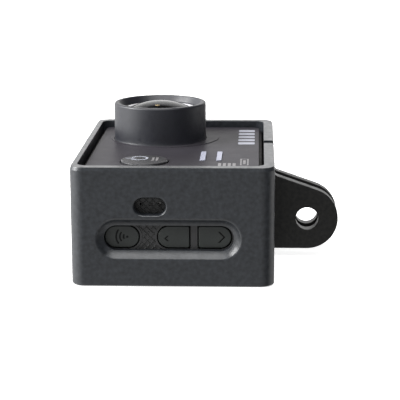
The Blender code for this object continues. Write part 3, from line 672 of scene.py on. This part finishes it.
def make_knurls(looks):
    low_z, high_z = BODY[4] + GRIP_EDGE, BODY[5] - GRIP_EDGE
    side = (BODY[0] + GRIP_END, BODY[1] - GRIP_END, low_z, high_z)
    keys = [grown(span, *KEY_KEEP_OUT) for span in (key_rectangle("wifi_button"), pair_rectangle())]
    knurl("grip_pattern_near", "Y", BODY[2], -1, side, keys, looks)
    ports = [grown(port_rectangle(node), *PORT_KEEP_OUT) for node in PORTS]
    knurl("grip_pattern_far", "Y", BODY[3], 1, side, ports, looks)
    edge = (BODY[2] + GRIP_END, BODY[3] - GRIP_END, low_z, high_z)
    y, z = SHUTTER_SPOT
    keep = [
        grown((y, y, z, z), SHUTTER_KEEP_OUT, SHUTTER_KEEP_OUT),
        grown(cad_box("status_light")[2:], *LIGHT_KEEP_OUT),
        grown(SOUND_SLOTS, *SOUND_KEEP_OUT),
    ]
    knurl("grip_pattern_top", "X", BODY[0], -1, edge, keep, looks)


PANE_CORNER = 0.7
PANE_GAP = 0.12
SCREW_GAP = 0.15
COVER_ROUND = 0.6
PANE_ROUND = 0.15
SCREW_HEAD = 1.0
SCREW_SHANK = 0.75
SCREW_POINT = 0.6
CROSS_REACH = 0.75
CROSS_HALF_WIDTH = 0.16
CROSS_DEPTH = 0.55


def make_rear(looks):
    """Rear cover with rounded edges, its glass screen and cross-headed screws."""
    cover = outline(*COVER[:4], BAY_CORNER)
    pane = cad_box("lcd_window")
    opening = outline(*pane[:4], PANE_CORNER)
    tools = [prism("Z", inset(opening, -PANE_GAP), COVER[4] - 1, COVER[5] + 1)]
    for number in range(1, 5):
        head = cad_box(f"case_screw_{number}")
        spot = ((head[0] + head[1]) / 2, (head[2] + head[3]) / 2)
        radius = (head[1] - head[0]) / 2 + SCREW_GAP
        tools.append(prism("Z", circle(spot, radius, 40), COVER[4] - 1, COVER[5] + 1))
        make_screw(number, spot, head, looks)
    piece("rear_shell", slab("Z", cover, COVER[4], COVER[5], COVER_ROUND), looks["body"], "camera",
          ["rear_cover"], cuts(*tools))
    piece("screen_pane", slab("Z", opening, pane[4], pane[5], PANE_ROUND), looks["screen"], "camera",
          ["lcd_window"])


def make_screw(number, spot, box, looks):
    """Pan-head screw with a cross recess, head down in the rear cover."""
    radius = (box[1] - box[0]) / 2
    low, high = box[4:]
    profile = [
        (0, low),
        (radius - 0.25, low),
        (radius - 0.07, low + 0.08),
        (radius, low + 0.25),
        (radius, low + SCREW_HEAD),
        (SCREW_SHANK, low + SCREW_HEAD),
        (SCREW_SHANK, high - SCREW_POINT),
        (0, high),
    ]
    slots = [
        prism("Z", outline(spot[0] - u, spot[0] + u, spot[1] - v, spot[1] + v), low - 0.5, low + CROSS_DEPTH)
        for u, v in ((CROSS_REACH, CROSS_HALF_WIDTH), (CROSS_HALF_WIDTH, CROSS_REACH))
    ]
    piece(f"screw_{number}", turned("Z", spot, profile, 40), looks["steel"], "camera",
          [f"case_screw_{number}"], cuts(*slots))


# --- front ---------------------------------------------------------------------------------------

PLATE_CORNER = 1.8
LIGHT_GAP = 0.08
LIGHT_CORNER = 0.3
LIGHT_ROUND = 0.12
HOOD_GAP = 0.12
POWER_GAP = 0.22
BARREL_HOLE_RADIUS = 8.1
BEZEL_ROUND = 0.35
PLATE_ROUND = 0.15
STEP_RADIUS = 13.35
STEP_MIDDLE = (LENS[0] + 1.15, LENS[1] + 0.6)
STEP_HEIGHT = 0.12
PLATE_FACE = PLATE[5] - STEP_HEIGHT
HOOD_FOOT = (HOOD[1] - HOOD[0]) / 2


def bar_outline(node, extra=0.0):
    low_x, high_x, low_y, high_y = cad_box(node)[:4]
    return inset(outline(low_x, high_x, low_y, high_y, LIGHT_CORNER, steps=6), -extra)


def front_holes():
    """Cutters for the power button and the two light bars."""
    outlines = [circle(POWER_SPOT, POWER_RADIUS + POWER_GAP, 72)]
    outlines += [bar_outline(f"light_guide_{side}", LIGHT_GAP) for side in ("upper", "lower")]
    return [prism("Z", points, BEZEL[4] - 1, PLATE[5] + 1) for points in outlines]


def make_front(looks):
    """Black bezel, and the plate on it with a shallow round step about the lens."""
    bezel = outline(*BEZEL[:4], BAY_CORNER)
    barrel_hole = prism("Z", circle(LENS, BARREL_HOLE_RADIUS), BEZEL[4] - 1, BEZEL[5] + 1)
    piece("bezel_shell", slab("Z", bezel, BEZEL[4], BEZEL[5], 0, BEZEL_ROUND), looks["bezel"], "camera",
          ["front_bezel"], cuts(barrel_hole, *front_holes()))
    plate = outline(*PLATE[:4], PLATE_CORNER)
    base = slab("Z", plate, BEZEL[5] + 0.01, PLATE_FACE, 0, PLATE_ROUND)
    step = slab("Z", circle(STEP_MIDDLE, STEP_RADIUS, 96), BEZEL[5] + 0.2, PLATE[5], 0, 0.1)
    lens_hole = prism("Z", circle(LENS, HOOD_FOOT + HOOD_GAP, 96), BEZEL[4], PLATE[5] + 1)
    steps = [("UNION", step)] + cuts(lens_hole, *front_holes())
    piece("plate_shell", base, looks["plate"], "camera", ["front_plate"], steps)


POWER_PLUNGER_RADIUS = 1.5
POWER_FLANGE = (22.8, 23.5)
POWER_EDGE = 0.3


def make_power_button(looks):
    """Round button with a rounded edge, a slightly hollow face, a flange and a plunger."""
    low, top = POWER[4:]
    flange_low, flange_high = POWER_FLANGE
    profile = [
        (0, low),
        (POWER_PLUNGER_RADIUS, low),
        (POWER_PLUNGER_RADIUS, flange_low),
        (POWER_RADIUS + FLANGE, flange_low),
        (POWER_RADIUS + FLANGE, flange_high),
        (POWER_RADIUS, flange_high),
    ]
    profile += [
        (POWER_RADIUS - POWER_EDGE * (1 - math.cos(a)), top - POWER_EDGE * (1 - math.sin(a)))
        for a in fan(4)
    ]
    profile += [(POWER_RADIUS * 0.5, top - 0.03), (0, top - 0.04)]
    piece("power_key", turned("Z", POWER_SPOT, profile), looks["power"], "power_button",
          ["power_button"])


PRINT_AND_SHADE_THICKNESS = 0.02


def print_and_shade_patches(name, outlines, level, material, body, axis="Z"):
    """Thin patches that stand on a surface, for print and for sheets of painted shade: one flat raised patch
    for each outline.
    """
    mesh = bmesh.new()
    for points in outlines:
        patch = prism(axis, points, level - PRINT_AND_SHADE_THICKNESS, level + PRINT_AND_SHADE_THICKNESS)
        scratch = bpy.data.meshes.new("patch")
        patch.to_mesh(scratch)
        patch.free()
        mesh.from_mesh(scratch)
        bpy.data.meshes.remove(scratch)
    piece(name, mesh, material, body)


def sector(centre, radius, width, start, end, steps=24):
    """Curved band outline."""
    outer = arc(centre, radius + width / 2, start, end, steps)
    inner = arc(centre, radius - width / 2, end, start, steps)
    return outer + inner


def border(low_u, high_u, low_v, high_v, line):
    """Four bars that make the border of a rectangle."""
    return [
        outline(low_u, high_u, low_v, low_v + line),
        outline(low_u, high_u, high_v - line, high_v),
        outline(low_u, low_u + line, low_v + line, high_v - line),
        outline(high_u - line, high_u, low_v + line, high_v - line),
    ]


def row(count, start, pitch):
    return [start + pitch * i for i in range(count)]


def make_power_marks(looks):
    """A standard power symbol with two dashes beside it."""
    x, y = POWER_SPOT
    top = POWER[5] - 0.01
    ring_x, ring_y = x - 1.3, y + 1.7
    gap = 28
    symbol = [
        sector((ring_x, ring_y), 1.9, 0.42, gap - 180, 180 - gap),
        outline(ring_x - 3.2, ring_x - 0.9, ring_y - 0.22, ring_y + 0.22, 0.15, steps=4),
    ]
    print_and_shade_patches("power_symbol", symbol, top, looks["mark"], "power_button")
    dashes = [outline(low, low + 0.55, y - 1.2, y + 2.6, 0.15, steps=4) for low in row(2, x + 1.7, 0.9)]
    print_and_shade_patches("power_key_dashes", dashes, top, looks["faint_mark"], "power_button")


def make_plate_marks(looks):
    """Plain blocks, a small box and dashes, in the places of the plate's print."""
    blocks = [outline(14.1, 18.1, low, low + 2.7, 0.4, steps=5) for low in row(5, 4.4, 4.2)]
    print_and_shade_patches("plate_blocks", blocks, PLATE_FACE, looks["mark"], "camera")
    box = border(14.9, 16.8, -21.0, -13.6, 0.32) + [outline(15.55, 16.15, -19.4, -15.2, 0.1, steps=3)]
    print_and_shade_patches("plate_box", box, PLATE_FACE, looks["faint_mark"], "camera")
    dashes = [outline(low, low + 0.7, -22.0, -18.6, 0.2, steps=3) for low in row(4, 9.9, 1.1)]
    print_and_shade_patches("plate_dashes", dashes, PLATE_FACE, looks["faint_mark"], "camera")


def make_lights(looks):
    for side in ("upper", "lower"):
        node = f"light_guide_{side}"
        low, high = cad_box(node)[4:]
        bar = slab("Z", bar_outline(node), low, high, 0, LIGHT_ROUND)
        piece(f"light_bar_{side}", bar, looks["light"], "camera", [node])


# --- lens ----------------------------------------------------------------------------------------

HOOD_SIDE = 11.3
HOOD_FLARE = 1.3
HOOD_EDGE = 0.45
HOOD_BORE = 9.0
LEDGE_RADIUS = 8.5
TRIM_RADII = (7.75, 8.75)
TRIM_EDGE = 0.08
GLASS_EDGE_THICKNESS = 1.5
HOLLOW_RADIUS = 5.0
HOLLOW_CURVATURE = 8.5


def make_hood(looks):
    """Turned lens hood: flared foot, straight side, rounded rim and a stepped funnel inside."""
    base, top = HOOD[4:]
    flare_low = PLATE[5] + 0.05
    ledge = TRIM[4] - 0.3
    flare = [
        (HOOD_SIDE + (HOOD_FOOT - HOOD_SIDE) * (1 - math.sin(a)), flare_low + HOOD_FLARE * (1 - math.cos(a)))
        for a in fan(5)
    ]
    rim = [
        (HOOD_SIDE - HOOD_EDGE * (1 - math.cos(a)), top - HOOD_EDGE * (1 - math.sin(a))) for a in fan(5)
    ]
    funnel = [(10.25, top), (10.15, top - 0.06), (9.35, TRIM[5] + 0.35), (9.25, TRIM[5] + 0.1)]
    bore = [
        (HOOD_BORE, TRIM[5]),
        (HOOD_BORE, ledge),
        (LEDGE_RADIUS, ledge),
        (LEDGE_RADIUS, ledge - 1.0),
        (HOOD_BORE, ledge - 1.6),
        (HOOD_BORE, base),
    ]
    profile = [(HOOD_FOOT, base)] + flare + rim + funnel + bore
    piece("hood_shell", turned("Z", LENS, profile, 128), looks["hood"], "camera",
          ["lens_hood"], sharp=40)


def make_trim(looks):
    """Pale ring round the front glass, with softened upper edges."""
    low, high = TRIM[4:]
    inner, outer = TRIM_RADII
    profile = [
        (outer, low),
        (outer, high - TRIM_EDGE),
        (outer - TRIM_EDGE, high),
        (inner + TRIM_EDGE, high),
        (inner, high - TRIM_EDGE),
        (inner, low),
    ]
    piece("trim_ring", turned("Z", LENS, profile), looks["trim"], "camera", ["lens_trim_ring"])


def dome(edge_radius, edge_level, curvature, steps):
    """Points of a spherical cap from its edge up to the axis."""
    centre = edge_level - math.sqrt(curvature ** 2 - edge_radius ** 2)
    reach = math.asin(edge_radius / curvature)
    points = []
    for i in range(steps):
        angle = reach * (1 - i / steps)
        points.append((curvature * math.sin(angle), centre + curvature * math.cos(angle)))
    return points + [(0, centre + curvature)]


def make_front_glass(looks):
    """Domed front element with a hollow back, in glass tinted near black as painted shade."""
    radius = (GLASS[1] - GLASS[0]) / 2
    edge = GLASS[4] + GLASS_EDGE_THICKNESS
    rise = GLASS[5] - edge
    curvature = (radius ** 2 + rise ** 2) / (2 * rise)
    hollow = dome(HOLLOW_RADIUS, GLASS[4], HOLLOW_CURVATURE, 14)[::-1]
    profile = hollow + [(radius, GLASS[4])] + dome(radius, edge, curvature, 24)
    piece("glass_dome", turned("Z", LENS, profile, 128), looks["dome"], "camera",
          ["front_glass"], sharp=50)


# --- side and top controls -----------------------------------------------------------------------

ICON_DEPTH = 0.14
WAVE_LINE = 0.36
WAVE_RADII = (0.85, 1.65, 2.5)
WAVE_DOT = 0.28
KEY_ROUND = 0.16
KEY_DEPTH = 1.9
KEY_FLANGE = (1.75, 2.35)
KEY_STEM_RADIUS = 0.9
KEY_STEM_START = 2.2


def engraved(axis, outlines, face, depth):
    """Cutters that sink outlines into a face that looks towards the low end of an axis."""
    return cuts(*[prism(axis, points, face - 1, face + depth) for points in outlines])


def chevron(tip, reach, rise, line):
    """Arrow head outline with its tip at a point, opening by reach along u."""
    u, v = tip
    slant = math.hypot(reach, rise)
    back = line * slant / rise
    side = math.copysign(1.0, reach)
    return [
        (u, v), (u + reach, v + rise), (u + reach + side * back, v + rise),
        (u + side * back, v), (u + reach + side * back, v - rise), (u + reach, v - rise),
    ]


def wireless_icon(centre):
    """A dot and three arcs, open towards the dot."""
    waves = [sector(centre, radius, WAVE_LINE, 180 - 40, 180 + 40, 16) for radius in WAVE_RADII]
    return waves + [circle(centre, WAVE_DOT, 20)]


def make_side_buttons(looks):
    """The three keys: a rounded cap with a sunk icon, a flange behind the wall and a stem, and a near-black
    sheet of painted shade at the bottom of each icon.
    """
    icons = {
        "wifi_button": wireless_icon((-10.1, 10.75)),
        "up_button": [chevron((-1.85, 10.4), 0.65, 0.62, 0.3)],
        "down_button": [chevron((11.8, 10.75), -1.2, 1.25, 0.34)],
    }
    wall = BODY[2]
    for node, icon in icons.items():
        face, inner = cad_box(node)[2:4]
        key = slab("Y", key_outline(node), face, wall + KEY_DEPTH, KEY_ROUND, 0)
        flange = prism("Y", key_outline(node, FLANGE), *[wall + depth for depth in KEY_FLANGE])
        low_u, high_u, low_v, high_v = key_rectangle(node)
        middle = ((low_u + high_u) / 2, (low_v + high_v) / 2)
        stem = prism("Y", circle(middle, KEY_STEM_RADIUS, 24), wall + KEY_STEM_START, inner)
        steps = [("UNION", flange), ("UNION", stem)]
        steps += engraved("Y", icon, face, ICON_DEPTH)
        name = node.replace("button", "key")
        piece(name, key, looks["button"], node, [node], steps)
        # A near-black sheet at the bottom of each sunk icon: painted shade, added to the real shade of the
        # recess.
        icon_shade_sheets = [inset(points, 0.01) for points in icon]
        print_and_shade_patches(name + "_icon_painted_shade", icon_shade_sheets, face + ICON_DEPTH, looks["bezel"], node, "Y")


def make_surrounds(looks):
    """Smooth raised border round the left key and round the pair of keys."""
    spans = {"single": key_rectangle("wifi_button"), "pair": pair_rectangle()}
    for name, span in spans.items():
        edge = stadium(*span)
        rim = slab("Y", inset(edge, -SURROUND), BODY[2] - 0.12, BODY[2] + 0.1, 0.08)
        hole = prism("Y", inset(edge, -SURROUND_GAP), BODY[2] - 1, BODY[2] + 1)
        piece(f"key_surround_{name}", rim, looks["body"], "camera", steps=cuts(hole))


SHUTTER_EDGE = 0.4
SHUTTER_FLANGE_DEPTH = 1.8
SHUTTER_FLANGE_THICKNESS = 0.6
SHUTTER_STEM_RADIUS = 1.2


def make_shutter(looks):
    """Round button with a slightly hollow face, a rounded edge, a flange and a stem."""
    face, inner = SHUTTER[:2]
    radius = SHUTTER_RADIUS
    flange_low = BODY[0] + SHUTTER_FLANGE_DEPTH
    flange_high = flange_low + SHUTTER_FLANGE_THICKNESS
    profile = [(0, face + 0.05), (radius * 0.6, face + 0.04)]
    profile += [
        (radius - SHUTTER_EDGE * (1 - math.sin(a)), face + SHUTTER_EDGE * (1 - math.cos(a))) for a in fan(4)
    ]
    profile += [
        (radius, flange_low),
        (radius + FLANGE, flange_low),
        (radius + FLANGE, flange_high),
        (SHUTTER_STEM_RADIUS, flange_high),
        (SHUTTER_STEM_RADIUS, inner),
        (0, inner),
    ]
    piece("shutter_key", turned("X", SHUTTER_SPOT, profile), looks["button"], "shutter_button",
          ["shutter_button"])


# --- finishes of the CAD nodes that stay ---------------------------------------------------------

KEPT_NODES = {
    "body": ("body_band", "battery_door", "battery_tray", "lens_holder"),
    "black": ("lens_barrel",),
    "coated": ("middle_lens", "rear_lens"),
    "glass": ("ir_filter",),
    "chip": ("image_sensor", "processor_chip", "memory_chip", "memory_card", "speaker"),
    "board": ("sensor_board", "main_board", "side_button_board"),
    "tin": ("lcd_panel", "wifi_module", "card_socket", "usb_socket", "hdmi_socket", "microphone",
            "power_switch", "shutter_switch", "wifi_switch", "up_switch", "down_switch"),
    "steel": ("door_hinge_pin", "door_latch"),
    "gold": ("battery_contacts",),
    "wrap": ("battery",),
    "light": ("indicator_led_upper", "indicator_led_lower", "status_light"),
}


def finish_kept_nodes(looks):
    for look, names in KEPT_NODES.items():
        for name in names:
            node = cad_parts[name]
            node.data.materials.clear()
            node.data.materials.append(looks[look])
            node.data.shade_smooth()
            node.data.set_sharp_from_angle(angle=math.radians(32))


# --- camera, light and floor ---------------------------------------------------------------------

FOCAL_LENGTH = 130.21
CAMERA_PLACE = (18.911, -340.806, 90.937)
CAMERA_YAW = math.radians(-2.341)
CAMERA_PITCH = math.radians(12.936)
CAMERA_ROLL = math.radians(-0.197)


def make_camera():
    """Camera looking along +Y, turned by yaw about Z, pitched down and rolled a little."""
    forward = Vector((
        math.sin(CAMERA_YAW) * math.cos(CAMERA_PITCH),
        math.cos(CAMERA_YAW) * math.cos(CAMERA_PITCH),
        -math.sin(CAMERA_PITCH),
    ))
    level = Vector((math.cos(CAMERA_YAW), -math.sin(CAMERA_YAW), 0))
    upright = level.cross(forward)
    right = level * math.cos(CAMERA_ROLL) + upright * math.sin(CAMERA_ROLL)
    up = upright * math.cos(CAMERA_ROLL) - level * math.sin(CAMERA_ROLL)
    lens = bpy.data.cameras.new("view_camera")
    lens.lens = FOCAL_LENGTH
    lens.sensor_width = 36.0
    lens.clip_start = 0.01
    camera = bpy.data.objects.new("view_camera", lens)
    turn = Matrix((right, up, -forward)).transposed().to_4x4()
    camera.matrix_world = Matrix.Translation(point(*CAMERA_PLACE)) @ turn
    bpy.context.scene.collection.objects.link(camera)
    bpy.context.scene.camera = camera


def softbox(name, direction, distance, size, radiance, colour):
    """Square light at a distance from the object, facing it, of a given surface brightness."""
    towards = Vector(direction).normalized()
    light = bpy.data.lights.new(name, "AREA")
    light.size = size
    light.color = colour
    light.energy = radiance * math.pi * size ** 2
    lamp = bpy.data.objects.new(name, light)
    lamp.location = towards * distance
    lamp.rotation_euler = (-towards).to_track_quat("-Z", "Y").to_euler()
    bpy.context.scene.collection.objects.link(lamp)


# Soft glows of the surroundings: direction, cosines at which each starts and is full, brightness.
GLOWS = (
    ((0.0, 1.0, 0.12), 0.80, 0.97, 1.5),
    ((-1.0, 0.15, 0.0), 0.25, 0.90, 1.5),
    ((0.94, 0.34, -0.5), 0.80, 0.97, 0.8),
    ((-0.15, -1.0, -0.3), 0.45, 0.95, 0.46),
    ((0.0, 0.0, -1.0), 0.30, 0.95, 0.75),
)
AMBIENT = 0.12


def make_world():
    world = bpy.data.worlds.new("studio")
    world.use_nodes = True
    tree = world.node_tree
    direction = tree.nodes.new("ShaderNodeTexCoord").outputs["Generated"]
    total = AMBIENT
    for towards, start, full, brightness in GLOWS:
        dot = tree.nodes.new("ShaderNodeVectorMath")
        dot.operation = "DOT_PRODUCT"
        dot.inputs[1].default_value = Vector(towards).normalized()
        tree.links.new(direction, dot.inputs[0])
        glow = tree.nodes.new("ShaderNodeMapRange")
        glow.interpolation_type = "SMOOTHSTEP"
        glow.inputs["From Min"].default_value = start
        glow.inputs["From Max"].default_value = full
        glow.inputs["To Max"].default_value = brightness
        tree.links.new(dot.outputs["Value"], glow.inputs["Value"])
        add = tree.nodes.new("ShaderNodeMath")
        add.operation = "ADD"
        tree.links.new(glow.outputs["Result"], add.inputs[0])
        if isinstance(total, float):
            add.inputs[1].default_value = total
        else:
            tree.links.new(total, add.inputs[1])
        total = add.outputs["Value"]
    tree.links.new(total, tree.nodes["Background"].inputs["Strength"])
    tree.nodes["Background"].inputs["Color"].default_value = (1.0, 1.0, 1.0, 1.0)
    bpy.context.scene.world = world


# Square lights: direction, distance and size in metres, surface brightness, colour.
WHITE = (1.0, 1.0, 1.0)
WARM = (1.0, 0.75, 0.4)
SOFTBOXES = {
    "overhead_softbox": ((0.0, -0.42, 0.9), 0.85, 0.6, 4.5, WHITE),
    "key_softbox": ((-0.8, -0.12, 0.56), 0.9, 0.55, 15.0, WHITE),
    "left_softbox": ((-1.0, -0.15, 0.12), 0.9, 0.5, 2.0, WHITE),
    "warm_lamp": ((-0.1, 0.79, 0.6), 0.9, 0.045, 11.0, WARM),
}


def make_studio():
    make_world()
    for name, settings in SOFTBOXES.items():
        softbox(name, *settings)
    bpy.context.scene.view_settings.view_transform = "Standard"


FLOOR_GLOW = 0.85
FLOOR_HALF = 4.0
FLOOR_LEVEL = -0.0002


def make_floor():
    """Pale light table. It lights itself a little, and stays out of reflections in the object."""
    mesh = bmesh.new()
    corners = outline(-FLOOR_HALF, FLOOR_HALF, -FLOOR_HALF, FLOOR_HALF)
    mesh.faces.new([mesh.verts.new((x, y, FLOOR_LEVEL)) for x, y in corners])
    floor = to_object("floor", mesh)
    material = surface("pale_floor", (0.92, 0.92, 0.92), 0.7, drift=0.02, patch=60.0,
                       Emission_Color=(1.0, 1.0, 1.0, 1.0), Emission_Strength=FLOOR_GLOW)
    floor.data.materials.append(material)
    floor.visible_glossy = False
    floor.visible_diffuse = False


LOOKS = make_materials()
make_mount(LOOKS)
make_knurls(LOOKS)
make_rear(LOOKS)
make_front(LOOKS)
make_power_button(LOOKS)
make_power_marks(LOOKS)
make_plate_marks(LOOKS)
make_lights(LOOKS)
make_hood(LOOKS)
make_trim(LOOKS)
make_front_glass(LOOKS)
make_side_buttons(LOOKS)
make_surrounds(LOOKS)
make_shutter(LOOKS)
finish_kept_nodes(LOOKS)
make_camera()
make_studio()
make_floor()
